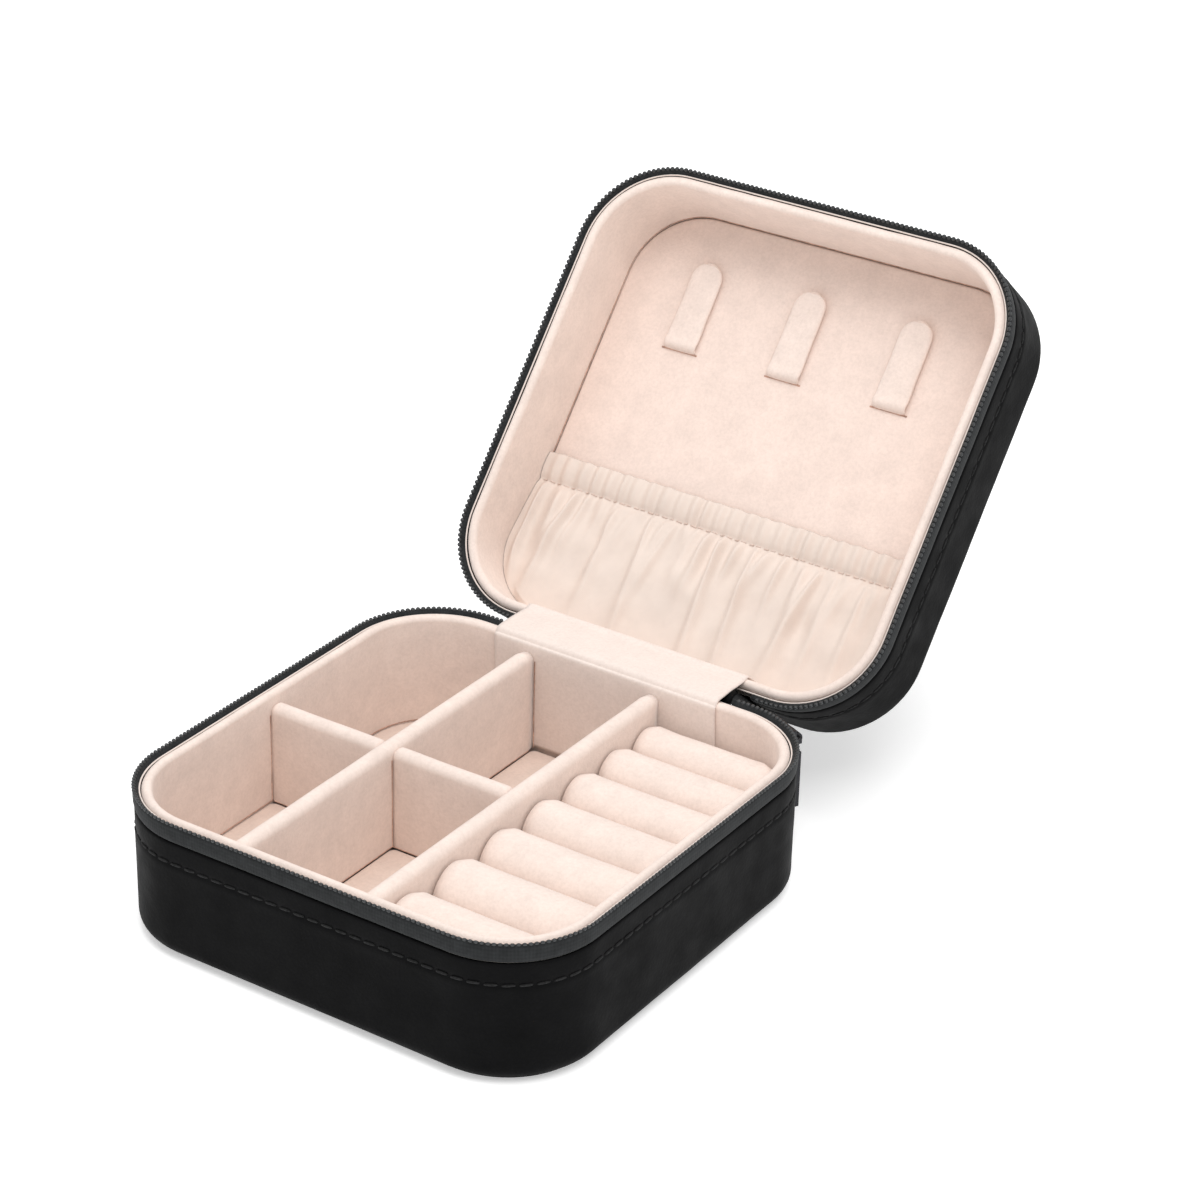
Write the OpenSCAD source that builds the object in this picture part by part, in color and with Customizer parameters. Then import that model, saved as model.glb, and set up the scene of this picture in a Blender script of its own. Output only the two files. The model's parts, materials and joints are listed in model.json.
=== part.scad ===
// Travel jewelry case: a zip-round box with a soft lining, held open at its fabric hinge.
// X runs along the hinge, the front is -Y, and the origin is the middle of the resting face.

/* [Case] */
// Half of the case's width and depth, at the leather
half_w = 47.8; // [46:0.1:52]
// Corner radius of the leather, seen from above
corner_r = 18.3; // [17:0.1:20]
// Height of the base's soft rim
base_h = 28; // [26:0.5:34]
// Depth of the lid, from its rim plane to its top
lid_h = 21.4; // [19.4:0.1:24]
// Gap between the two rim planes when the case is closed
rim_gap = 1.2; // [1.2:0.1:2]
// How far the lid is turned open, from closed
open_angle = 130; // [0:1:180]

/* [Walls] */
// Thickness of the leather wrap
wrap_t = 0.6; // [0.4:0.1:0.8]
// Thickness of the moulded shell's wall
core_t = 1.4; // [1.2:0.1:1.6]
// Thickness of the velvet lining on the wall
lining_t = 1.3; // [1:0.1:1.4]
// Radius of the rolled soft rim
rim_r = 1; // [0.8:0.1:1.2]
// Rounding of the leather's outer edge, above the resting face and round the lid's top
edge_r = 3; // [2.5:0.1:4]
// Thickness of the flat panel on the outside of the base, and of the lid
panel_t = 0.4; // [0.3:0.1:1.2]

/* [Base interior] */
// Thickness of a covered divider
divider_t = 3.5; // [2.5:0.1:4]
// Height of the two long dividers' tops
divider_top = 26.5; // [22:0.5:27]
// How much lower the cross dividers are
cross_drop = 0.6; // [0:0.1:1.5]
// Place of the left long divider
divider_left_x = -18; // [-22:0.5:-14]
// Place of the long divider beside the ring rolls
divider_right_x = 10.5; // [8:0.5:14]
// Place of the cross dividers
cross_y = 0.2; // [-4:0.1:4]
// Thickness of the padded floor board
floor_pad_t = 3.8; // [3:0.1:4.2]

/* [Ring rolls] */
// Number of ring rolls
roll_count = 7; // [7]
// Diameter of the roll at the front
roll_d_front = 14.3; // [14:0.1:14.4]
// Diameter of the roll at the hinge
roll_d_back = 10.7; // [10.4:0.1:10.8]
// Height of the rolls' centres
roll_z = 17.5; // [15:0.5:18]
// Gap between neighbouring rolls
roll_gap = 0.2; // [0.1:0.05:0.4]
// Thickness of the board under the rolls
ring_bed_t = 2.2; // [1.5:0.1:3]

/* [Lid interior] */
// Depth of the lining panel below the lid's rim plane
panel_depth = 17; // [15:0.5:17]
// Width of a hook tongue
tongue_w = 7.3; // [6:0.1:9]
// Length of a hook tongue from its fold to its free end
tongue_l = 17.5; // [14:0.5:20]
// Thickness of a hook tongue
tongue_t = 1.1; // [0.8:0.1:1.3]
// Distance between neighbouring tongues
tongue_pitch = 24.1; // [18:0.1:25]
// Place of the middle tongue along the hinge
tongue_mid_x = -2; // [-4:0.5:4]
// Distance of the tongues' folds from the middle of the lid, towards the free edge
tongue_fold = 17; // [14:0.5:19]
// Distance of the pocket's mouth from the middle of the lid, towards the hinge
pocket_mouth = 11.3; // [8:0.1:16]
// Height of the pocket's gathered header
header_h = 6.3; // [4:0.1:8]
// Thickness of the pocket's cloth
pocket_t = 0.8; // [0.6:0.1:1.2]
// How far the pocket stands off the panel at its lower edge
pocket_bulge = 6.4; // [4:0.1:7]

/* [Zipper] */
// How far the zipper tape stands out past the leather
tape_out = 0.1; // [0:0.1:0.4]
// Height of the exposed zipper tape
tape_h = 3.5; // [2.5:0.1:5]
// Radius of the zipper coil
coil_r = 0.5; // [0.4:0.05:0.55]
// Where the slider is parked round the rear right corner, from the side towards the back
slider_angle = 65; // [10:1:65]
// Width of the slider's plate
slider_w = 7; // [5:0.5:8]
// Length of the pull tab below its eye
pull_l = 14; // [10:0.5:16]

/* [Hinge] */
// Distance of the hinge axis behind the leather's rear face
hinge_back = 2.2; // [2.1:0.1:3]
// Height of the hinge axis
hinge_z = 26.2; // [26.2:0.1:27]
// Half of the width of the fabric hinge
hinge_half = 25; // [20:0.5:26]
// Thickness of the outer hinge strip
spine_t = 0.6; // [0.4:0.1:0.8]
// How far the outer hinge strip reaches below each rim plane
spine_h = 10; // [6:0.5:12]
// Thickness of the inner hinge flap
flap_t = 0.8; // [0.5:0.1:0.8]

/* [Hidden] */
$fn = 64;

// Plan of the corners: every layer's corner arc has the same centre
corner_c = half_w - corner_r;
core_out = half_w - wrap_t;
core_in = core_out - core_t;
inside = core_in - lining_t;
rim_u = inside + rim_r - 0.05;
tape_in = inside + 2 * rim_r;
spine_bend_r = 1.7;
tape_u = half_w + tape_out;
panel_u = half_w - edge_r + 0.6;
hollow_u = core_in - 2.5;

// Clearance between covers that lie side by side
cover_gap = 0.1;

// Outside of the shell's thin lip, which stands between the tape and the lining
lip_u = tape_in - cover_gap;

// How far the shell's edge lies below its rim plane, inside the rolled rim
rim_drop = 1;

// Thickness of the shell's floor above the leather's turned-in edge
shell_floor_t = 0.8;

// Heights of the base's layers
core_z = panel_t + wrap_t;
core_floor_top = core_z + shell_floor_t;
floor_z = core_floor_top + floor_pad_t;
tape_z = base_h - tape_h;

// The lid is drawn closed and upside down, with w as the depth from its own rim plane
lid_rim_z = base_h + rim_gap;
hinge_y = half_w + hinge_back;

// How far the pocket's header stands off the panel, at its mouth and at its lower edge
mouth_lift = 1;
header_lift = 2;

// Ring section, from the divider to the right wall
ring_x0 = divider_right_x + divider_t / 2;
ring_y0 = 0.3 - inside;
roll_ds = [for (i = [0 : roll_count - 1])
    roll_d_front + (roll_d_back - roll_d_front) * i / (roll_count - 1)];
function sum_to(v, n) = n <= 0 ? 0 : v[n - 1] + sum_to(v, n - 1);
function roll_y(i) = ring_y0 + sum_to(roll_ds, i) + roll_ds[i] / 2;

// Zipper slider and pull, measured from the centre of the rear right corner
slider_t = 1.05;
slider_r = corner_r + tape_out + 0.15;
slider_z0 = 22.2;
slider_h = 5.4;
bar_r = 0.5;
eye_r = 1.3;
eye_gap = 0.1;
bar_at = slider_r + slider_t + eye_r + 0.15;
bar_z = 24.4;
post_y = 1.9;
pull_t = 1.2;
pull_w = 4.6;
post_t = 0.8;
post_h = 1.2;

// Colours
leather = [0.10, 0.10, 0.10];
tape_grey = [0.22, 0.23, 0.24];
coil_black = [0.15, 0.15, 0.16];
blush = [0.95, 0.86, 0.81];
blush_light = [0.98, 0.92, 0.89];
board = [0.45, 0.42, 0.40];
gunmetal = [0.25, 0.25, 0.27];

big = 200;

// ---- Shapes that repeat ----

// Square of half-size s whose corner arcs share the case's corner centres
module case_outline(s) {
    r = s - corner_c;
    square([2 * s, 2 * corner_c], center = true);
    square([2 * corner_c, 2 * s], center = true);
    for (x = [-1, 1], y = [-1, 1])
        translate([x * corner_c, y * corner_c])
            circle(r = r);
}

module plate(s, z0, z1) {
    translate([0, 0, z0])
        linear_extrude(z1 - z0)
            case_outline(s);
}

// A profile drawn at its own distance u from the middle, carried along one side
module along_side(turn) {
    rotate([0, 0, turn])
        rotate([90, 0, 0])
            linear_extrude(2 * corner_c, center = true)
                children();
}

// The same profile, carried round the corner that follows that side
module round_corner(turn) {
    rotate([0, 0, turn])
        translate([corner_c, corner_c, 0])
            rotate_extrude(angle = 90)
                translate([-corner_c, 0])
                    children();
}

module all_round() {
    for (turn = [0, 90, 180, 270]) {
        along_side(turn)
            children();
        round_corner(turn)
            children();
    }
}

// Round three sides and both rear corners, and up to the fabric hinge at the back
module round_zipper() {
    for (turn = [0, 180, 270])
        along_side(turn)
            children();
    for (turn = [0, 90, 180, 270])
        round_corner(turn)
            children();
    for (x = [-1, 1])
        translate([x * (hinge_half + corner_c + 1) / 2, 0, 0])
            rotate([0, 0, 90])
                rotate([90, 0, 0])
                    linear_extrude(corner_c - hinge_half - 1, center = true)
                        children();
}

// Wall profile from u0 to u1 with its lower outer corner rounded
module rounded_wall(u0, u1, z0, z1, r) {
    difference() {
        translate([u0, z0])
            square([u1 - u0, z1 - z0]);
        difference() {
            translate([u1 - r, z0])
                square(r);
            translate([u1 - r, z0 + r])
                circle(r = r);
        }
    }
}

module wrap_profile(z1) {
    difference() {
        rounded_wall(hollow_u, half_w, panel_t, z1, edge_r);
        rounded_wall(hollow_u - 1, core_out, core_z, z1 + 1, edge_r - wrap_t);
    }
}

module core_profile(z1) {
    difference() {
        rounded_wall(hollow_u, core_out, core_z, z1, edge_r - wrap_t);
        translate([hollow_u - 1, core_floor_top])
            square([core_in - hollow_u + 1, z1]);
        translate([lip_u, z1 + rim_drop - tape_h - cover_gap])
            square([core_t, tape_h]);
    }
}

// Tape that stands on the shell's shoulder, from the leather's top edge up to the rim plane
module tape_profile(z0, z1) {
    bend_r = 0.7;
    translate([0, z0 + z1])
        mirror([0, 1])
            rounded_wall(tape_in, tape_u, z0, z1, bend_r);
}

module coil_profile(z1) {
    coil_inset = 0.2;
    translate([tape_u - coil_r - coil_inset, z1])
        circle(r = coil_r);
}

// Lining on a wall, folded over the shell's edge into a rolled rim
module lining_profile(z0, z1) {
    translate([inside, z0])
        square([lining_t, z1 - rim_drop - z0]);
    difference() {
        translate([rim_u, z1 - rim_r])
            circle(r = rim_r);
        translate([core_in, z0])
            square([big, z1 - rim_drop - z0]);
    }
}

// Shell: a floor that steps up inside the leather's turned-in edge, and a wall
module shell(z1) {
    plate(hollow_u, panel_t, core_floor_top);
    all_round()
        core_profile(z1);
}

// Puts a lid piece drawn rim-up into the closed case: upside down on the base
module closed_lid() {
    translate([0, 0, lid_rim_z + lid_h])
        mirror([0, 0, 1])
            children();
}

// Turns a closed piece about the hinge axis to where the lid stands
module opened() {
    translate([0, hinge_y, hinge_z])
        rotate([-open_angle, 0, 0])
            translate([0, -hinge_y, -hinge_z])
                children();
}

module lid_part() {
    opened()
        closed_lid()
            children();
}

// ---- Base ----

module base_core() {
    color(board)
        shell(base_h - rim_drop);
}

module base_wrap() {
    color(leather)
        all_round()
            wrap_profile(tape_z - cover_gap);
}

module base_bottom_panel() {
    color(leather)
        plate(panel_u, 0, panel_t);
}

module base_zipper_tape() {
    color(tape_grey)
        round_zipper()
            tape_profile(tape_z, base_h);
}

module base_zipper_teeth() {
    color(coil_black)
        difference() {
            round_zipper()
                coil_profile(base_h);
            round_zipper()
                tape_profile(tape_z, base_h);
        }
}

module base_lining_wall() {
    color(blush)
        all_round()
            lining_profile(core_floor_top, base_h);
}

module base_floor_pad() {
    color(blush)
        plate(inside, core_floor_top, floor_z);
}

// Upright board with a rounded top, standing in the XZ plane's section
module divider_section(top) {
    translate([-divider_t / 2, floor_z])
        square([divider_t, top - floor_z - divider_t / 2]);
    translate([0, top - divider_t / 2])
        circle(r = divider_t / 2);
}

module divider_long(x) {
    color(blush_light)
        translate([x, inside - flap_t, 0])
            rotate([90, 0, 0])
                linear_extrude(2 * inside - flap_t)
                    divider_section(divider_top);
}

module divider_long_left() {
    divider_long(divider_left_x);
}

module divider_long_right() {
    divider_long(divider_right_x);
}

module divider_cross(x0, x1) {
    color(blush_light)
        translate([x0, cross_y, 0])
            rotate([90, 0, 90])
                linear_extrude(x1 - x0)
                    divider_section(divider_top - cross_drop);
}

module divider_cross_left() {
    divider_cross(-inside, divider_left_x - divider_t / 2);
}

module divider_cross_right() {
    divider_cross(divider_left_x + divider_t / 2, divider_right_x - divider_t / 2);
}

module ring_bed() {
    color(blush)
        intersection() {
            plate(inside - cover_gap, floor_z, floor_z + ring_bed_t);
            translate([ring_x0, -inside, 0])
                cube([big, 2 * inside - flap_t, big]);
        }
}

module roll_section(r) {
    circle(r = r);
    translate([-r, floor_z + ring_bed_t - roll_z])
        square([2 * r, roll_z - floor_z - ring_bed_t]);
}

module ring_roll(i) {
    color(blush_light)
        intersection() {
            translate([ring_x0 + 2 * cover_gap, roll_y(i), roll_z])
                rotate([90, 0, 90])
                    linear_extrude(big)
                        roll_section((roll_ds[i] - roll_gap) / 2);
            plate(inside - 2 * cover_gap, 0, base_h);
        }
}

module ring_roll_1() {
    ring_roll(0);
}

module ring_roll_2() {
    ring_roll(1);
}

module ring_roll_3() {
    ring_roll(2);
}

module ring_roll_4() {
    ring_roll(3);
}

module ring_roll_5() {
    ring_roll(4);
}

module ring_roll_6() {
    ring_roll(5);
}

module ring_roll_7() {
    ring_roll(6);
}

// ---- Fabric hinge ----

// Carries a section drawn in (y, z) along the hinge's width
module hinge_extrude() {
    rotate([90, 0, 90])
        linear_extrude(2 * hinge_half, center = true)
            children();
}

// Half plane of the (y, z) section, on the upper side of a line through the hinge axis
module half_plane(angle) {
    rotate(angle)
        translate([-big, 0])
            square([2 * big, big]);
}

// Outer strip: up the base's rear face, over the hinge axis, and down the lid's rear face
module hinge_spine() {
    strip_t = hinge_back - spine_bend_r + spine_t;
    color(leather)
        hinge_extrude() {
            translate([half_w, base_h - spine_h])
                square([strip_t, hinge_z - base_h + spine_h]);
            translate([hinge_y, hinge_z])
                intersection() {
                    difference() {
                        circle(r = spine_bend_r);
                        circle(r = spine_bend_r - spine_t);
                    }
                    half_plane(0);
                    half_plane(180 - open_angle);
                }
            translate([hinge_y, hinge_z])
                rotate(-open_angle)
                    translate([-hinge_back, 0])
                        square([strip_t, lid_rim_z + spine_h - hinge_z]);
        }
}

// Inner flap: up inside the base's rear wall, across the gap, and into the lid
module hinge_flap() {
    flap_clear = 0.4;
    rim_mid = inside + rim_r;
    open_rim = [hinge_y, hinge_z] + turn2([rim_mid - hinge_y, lid_rim_z - hinge_z], -open_angle);
    color(blush_light)
        hinge_extrude() {
            translate([inside - flap_t, floor_z])
                square([flap_t, base_h + flap_t - floor_z]);
            translate([inside - flap_t, base_h])
                square([open_rim[0] - inside + flap_t - flap_clear, flap_t]);
        }
}

function turn2(p, a) = [p[0] * cos(a) - p[1] * sin(a), p[0] * sin(a) + p[1] * cos(a)];

// ---- Lid ----

module lid_core() {
    color(board)
        lid_part()
            shell(lid_h - rim_drop);
}

module lid_wrap() {
    color(leather)
        lid_part()
            all_round()
                wrap_profile(lid_h - tape_h - cover_gap);
}

module lid_top_panel() {
    color(leather)
        lid_part()
            plate(panel_u, 0, panel_t);
}

module lid_zipper_tape() {
    color(tape_grey)
        lid_part()
            round_zipper()
                tape_profile(lid_h - tape_h, lid_h);
}

module lid_zipper_teeth() {
    color(coil_black)
        lid_part()
            difference() {
                round_zipper()
                    coil_profile(lid_h);
                round_zipper()
                    tape_profile(lid_h - tape_h, lid_h);
            }
}

module lid_lining_wall() {
    color(blush)
        lid_part()
            all_round()
                lining_profile(core_floor_top, lid_h);
}

function panel_z() = lid_h - panel_depth;

module at_tongue(i) {
    translate([tongue_mid_x + (i - 1) * tongue_pitch, -tongue_fold, 0])
        children();
}

// Lining panel, with a slit at each tongue's fold
module lid_panel() {
    slit_w = 2.4;
    slit_side = 0.4;
    color(blush)
        lid_part()
            difference() {
                plate(inside, core_floor_top, panel_z());
                for (i = [0 : 2])
                    at_tongue(i)
                        translate([0, 0, panel_z()])
                            cube([tongue_w + 2 * slit_side, slit_w, 3], center = true);
            }
}

// Pocket section in (y, z), from its mouth down to the lid's wall at the hinge side
module pocket_section(y0, y1, lift0, lift1) {
    polygon([[y0, panel_z() + lift0], [y1, panel_z() + lift1],
        [y1, panel_z() + lift1 + pocket_t], [y0, panel_z() + lift0 + pocket_t]]);
}

module pocket_piece() {
    intersection() {
        rotate([90, 0, 90])
            linear_extrude(2 * inside, center = true)
                children();
        plate(inside - cover_gap, 0, lid_h);
    }
}

module pocket_header() {
    color(blush_light)
        lid_part()
            pocket_piece()
                pocket_section(pocket_mouth, pocket_mouth + header_h, mouth_lift, header_lift);
}

module pocket_pouch() {
    color(blush_light)
        lid_part()
            pocket_piece()
                pocket_section(pocket_mouth + header_h, inside, header_lift, pocket_bulge);
}

// Tongue: a root in the slit, a round fold, and a flat blade with a rounded free end
module hook_tongue(i) {
    blade_gap = 0.3;
    fold_z = panel_z() + blade_gap + tongue_t / 2;
    blade_l = tongue_l - tongue_w / 2;
    root_t = 0.8;
    root_l = 1.4;
    color(blush_light)
        lid_part()
            at_tongue(i) {
                translate([0, 0, fold_z])
                    rotate([0, 90, 0])
                        cylinder(d = tongue_t, h = tongue_w, center = true);
                translate([-tongue_w / 2, -root_t / 2, fold_z - root_l])
                    cube([tongue_w, root_t, root_l]);
                translate([-tongue_w / 2, -blade_l, fold_z - tongue_t / 2])
                    cube([tongue_w, blade_l, tongue_t]);
                translate([0, -blade_l, fold_z - tongue_t / 2])
                    cylinder(d = tongue_w, h = tongue_t);
            }
}

module hook_tongue_1() {
    hook_tongue(0);
}

module hook_tongue_2() {
    hook_tongue(1);
}

module hook_tongue_3() {
    hook_tongue(2);
}

// ---- Zipper slider ----

// X is outwards from the corner's centre, and Y runs along the tape
module at_slider() {
    translate([corner_c, corner_c, 0])
        rotate([0, 0, slider_angle])
            children();
}

module zipper_slider() {
    color(gunmetal)
        at_slider() {
            translate([slider_r, -slider_w / 2, slider_z0])
                cube([slider_t, slider_w, slider_h]);
            for (side = [-1, 1])
                translate([slider_r + slider_t, side * post_y - post_t / 2, bar_z - post_h / 2])
                    cube([bar_at - slider_r - slider_t + post_h / 2, post_t, post_h]);
            translate([bar_at, 0, bar_z])
                rotate([90, 0, 0])
                    cylinder(r = bar_r, h = 2 * post_y, center = true);
        }
}

module zipper_pull() {
    eye_w = 2 * post_y - 1;
    neck_l = 3;
    neck_overlap = 0.6;
    color(gunmetal)
        at_slider()
            difference() {
                union() {
                    translate([bar_at, 0, bar_z])
                        rotate([90, 0, 0])
                            cylinder(r = eye_r, h = eye_w, center = true);
                    translate([bar_at - pull_t / 2, -eye_w / 2, bar_z - neck_l])
                        cube([pull_t, eye_w, neck_l]);
                    translate([bar_at - pull_t / 2, -pull_w / 2, bar_z - pull_l])
                        cube([pull_t, pull_w, pull_l - neck_l + neck_overlap]);
                }
                translate([bar_at, 0, bar_z])
                    rotate([90, 0, 0])
                        cylinder(r = bar_r + eye_gap, h = big, center = true);
            }
}

base_core();
base_wrap();
base_bottom_panel();
base_zipper_tape();
base_zipper_teeth();
base_lining_wall();
base_floor_pad();
divider_long_left();
divider_long_right();
divider_cross_left();
divider_cross_right();
ring_bed();
ring_roll_1();
ring_roll_2();
ring_roll_3();
ring_roll_4();
ring_roll_5();
ring_roll_6();
ring_roll_7();
hinge_spine();
hinge_flap();
lid_core();
lid_wrap();
lid_top_panel();
lid_zipper_tape();
lid_zipper_teeth();
lid_lining_wall();
lid_panel();
pocket_header();
pocket_pouch();
hook_tongue_1();
hook_tongue_2();
hook_tongue_3();
zipper_slider();
zipper_pull();
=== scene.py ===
import json
import math

import bmesh
import bpy
from mathutils import Matrix, Vector, noise


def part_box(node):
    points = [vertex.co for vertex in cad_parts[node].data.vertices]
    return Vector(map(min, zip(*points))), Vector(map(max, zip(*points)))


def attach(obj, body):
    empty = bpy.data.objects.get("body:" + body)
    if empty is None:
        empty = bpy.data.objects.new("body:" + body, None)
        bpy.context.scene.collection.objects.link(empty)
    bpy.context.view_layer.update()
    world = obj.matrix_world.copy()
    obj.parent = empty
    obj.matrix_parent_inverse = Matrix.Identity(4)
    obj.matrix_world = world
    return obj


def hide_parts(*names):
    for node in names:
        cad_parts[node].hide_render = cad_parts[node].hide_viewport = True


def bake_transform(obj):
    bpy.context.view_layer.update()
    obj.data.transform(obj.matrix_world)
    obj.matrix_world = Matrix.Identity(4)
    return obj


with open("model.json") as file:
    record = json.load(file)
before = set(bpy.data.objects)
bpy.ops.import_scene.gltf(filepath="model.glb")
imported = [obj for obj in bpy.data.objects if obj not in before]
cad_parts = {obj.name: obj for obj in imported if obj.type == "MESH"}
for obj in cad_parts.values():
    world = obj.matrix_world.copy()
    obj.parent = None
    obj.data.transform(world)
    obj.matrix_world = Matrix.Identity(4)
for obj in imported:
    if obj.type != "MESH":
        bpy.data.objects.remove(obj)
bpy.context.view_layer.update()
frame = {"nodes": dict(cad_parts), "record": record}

MM = 0.001

# ---- Numbers of the case, in millimetres, read from the frame where it has them ----


def box_mm(node):
    lo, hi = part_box(node)
    return lo / MM, hi / MM


CORNER = 29.5  # every corner arc, seen from above, has its centre here
LID_H = 21.4  # depth of the lid from its rim plane to its top
RIM_GAP = 1.2  # between the two rim planes when the case is closed
HALF = box_mm("base_wrap")[1].x
WRAP_LOW = box_mm("base_wrap")[0].z
WRAP_TOP = box_mm("base_wrap")[1].z
INSIDE = box_mm("base_floor_pad")[1].x
FLOOR_Z = box_mm("base_floor_pad")[1].z
FLOOR_LOW = box_mm("base_floor_pad")[0].z
RIM_Z = box_mm("base_lining_wall")[1].z
TAPE_U = box_mm("base_zipper_tape")[1].x
HINGE_HALF = box_mm("hinge_flap")[1].x
PANEL_Z = LID_H - 17  # the lid's lining panel, in the lid's own upright frame
RIM_R = 1.0  # of the rolled rim
EDGE_R = 3.0  # of the leather's lower edge
STITCH_DROP = 4.3  # from the leather's top to the stitches
TAPE_H = 3.5  # height of the zipper tape outside the rim
STITCH_PITCH = 3.0
COIL_PITCH = 1.02
COIL_RISE = 0.22  # of a coil head's centre above the rim plane
PLEAT = 3.3  # pitch of the gathers at the pocket's elastic

HINGE = next(j for j in frame["record"]["behaviour"]["joints"] if j["name"] == "lid_hinge")
HINGE_Y, HINGE_Z = HINGE["pos_m"][1] / MM, HINGE["pos_m"][2] / MM
OPEN = math.radians(HINGE["range_deg"][1])

# The lid is drawn like the base, rim up, then turned over onto the base and swung open
CLOSED = Matrix.Translation((0, 0, RIM_Z + RIM_GAP + LID_H)) @ Matrix.Diagonal((1, 1, -1, 1))
LID = (
    Matrix.Translation((0, HINGE_Y, HINGE_Z))
    @ Matrix.Rotation(-OPEN, 4, "X")
    @ Matrix.Translation((0, -HINGE_Y, -HINGE_Z))
    @ CLOSED
)


def wobble(x, y, z=0.0):
    return noise.noise(Vector((x, y, z)))


# ---- Materials ----


def tree(name):
    m = bpy.data.materials.new(name)
    m.use_nodes = True
    t = m.node_tree
    return m, t, t.nodes["Principled BSDF"]


def coords(t, kind="Object"):
    return t.nodes.new("ShaderNodeTexCoord").outputs[kind]


def noise_fac(t, vec, scale, detail=2.0, rough=0.5, stretch=None):
    if stretch:
        mp = t.nodes.new("ShaderNodeMapping")
        mp.inputs["Scale"].default_value = stretch
        t.links.new(vec, mp.inputs["Vector"])
        vec = mp.outputs[0]
    n = t.nodes.new("ShaderNodeTexNoise")
    n.inputs["Scale"].default_value = scale
    n.inputs["Detail"].default_value = detail
    n.inputs["Roughness"].default_value = rough
    t.links.new(vec, n.inputs["Vector"])
    return n.outputs["Fac"]


def ramp(t, fac, stops):
    r = t.nodes.new("ShaderNodeValToRGB")
    e = r.color_ramp.elements
    while len(e) < len(stops):
        e.new(0.5)
    for i, (pos, col) in enumerate(stops):
        e[i].position = pos
        e[i].color = (*col, 1)
    t.links.new(fac, r.inputs["Fac"])
    return r.outputs["Color"]


def math_node(t, op, a, b=None):
    n = t.nodes.new("ShaderNodeMath")
    n.operation = op
    for i, v in enumerate((a, b)):
        if v is None:
            continue
        if isinstance(v, (int, float)):
            n.inputs[i].default_value = v
        else:
            t.links.new(v, n.inputs[i])
    return n.outputs[0]


def bump(t, height, strength, distance, under=None):
    b = t.nodes.new("ShaderNodeBump")
    b.inputs["Strength"].default_value = strength
    b.inputs["Distance"].default_value = distance
    t.links.new(height, b.inputs["Height"])
    if under is not None:
        t.links.new(under, b.inputs["Normal"])
    return b.outputs["Normal"]


def mix_colour(t, fac, a, b, how="MULTIPLY"):
    n = t.nodes.new("ShaderNodeMix")
    n.data_type = "RGBA"
    n.blend_type = how
    if isinstance(fac, (int, float)):
        n.inputs[0].default_value = fac
    else:
        t.links.new(fac, n.inputs[0])
    t.links.new(a, n.inputs[6])
    t.links.new(b, n.inputs[7])
    return n.outputs[2]


def shade(c, k):
    return tuple(min(1.0, v * k) for v in c)


def velvet(name, colour, nap=0.06, sheen=0.35):
    """Short-pile velvet: nap patches a few millimetres wide, and a fine pile over them."""
    m, t, p = tree(name)
    v = coords(t)
    patches = ramp(t, noise_fac(t, v, 210, 3, 0.6), [(0.3, shade(colour, 1 - nap)), (0.7, shade(colour, 1 + nap * 0.5))])
    pile = ramp(t, noise_fac(t, v, 1500, 3, 0.7), [(0.25, (0.88, 0.87, 0.86)), (0.62, (1, 1, 1))])
    t.links.new(mix_colour(t, 0.8, patches, pile), p.inputs["Base Color"])
    soft = bump(t, noise_fac(t, v, 330, 2, 0.5), 0.25, 0.0002)
    t.links.new(bump(t, noise_fac(t, v, 2600, 3, 0.7), 0.35, 0.00012, soft), p.inputs["Normal"])
    p.inputs["Roughness"].default_value = 0.92
    p.inputs["Specular IOR Level"].default_value = 0.15
    p.inputs["Sheen Weight"].default_value = sheen
    p.inputs["Sheen Roughness"].default_value = 0.45
    p.inputs["Sheen Tint"].default_value = (1.0, 0.96, 0.93, 1)
    return m


def leather(name, colour):
    """PU leather: pebbled cells about 0.7 mm wide with fine creases, matte with a soft gloss."""
    m, t, p = tree(name)
    v = coords(t)
    cells = t.nodes.new("ShaderNodeTexVoronoi")
    cells.inputs["Scale"].default_value = 1400
    warp = t.nodes.new("ShaderNodeVectorMath")
    warp.operation = "ADD"
    bend = t.nodes.new("ShaderNodeTexNoise")
    bend.inputs["Scale"].default_value = 700
    small = t.nodes.new("ShaderNodeVectorMath")
    small.operation = "SCALE"
    small.inputs["Scale"].default_value = 0.0006
    t.links.new(v, bend.inputs["Vector"])
    t.links.new(bend.outputs["Color"], small.inputs[0])
    t.links.new(v, warp.inputs[0])
    t.links.new(small.outputs[0], warp.inputs[1])
    t.links.new(warp.outputs[0], cells.inputs["Vector"])
    grain = cells.outputs["Distance"]
    tone = ramp(t, noise_fac(t, v, 90, 3, 0.55), [(0.3, shade(colour, 0.85)), (0.7, shade(colour, 1.2))])
    pores = ramp(t, grain, [(0.05, (1, 1, 1)), (0.75, (0.72, 0.72, 0.72))])
    t.links.new(mix_colour(t, 0.7, tone, pores), p.inputs["Base Color"])
    rough = ramp(t, noise_fac(t, v, 160, 2, 0.5), [(0.3, (0.52, 0.52, 0.52)), (0.7, (0.66, 0.66, 0.66))])
    t.links.new(rough, p.inputs["Roughness"])
    crease = bump(t, noise_fac(t, v, 420, 4, 0.6), 0.2, 0.0001)
    n = t.nodes.new("ShaderNodeBump")
    n.invert = True
    n.inputs["Strength"].default_value = 0.3
    n.inputs["Distance"].default_value = 0.00008
    t.links.new(grain, n.inputs["Height"])
    t.links.new(crease, n.inputs["Normal"])
    t.links.new(n.outputs[0], p.inputs["Normal"])
    p.inputs["Specular IOR Level"].default_value = 0.05
    return m


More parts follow.
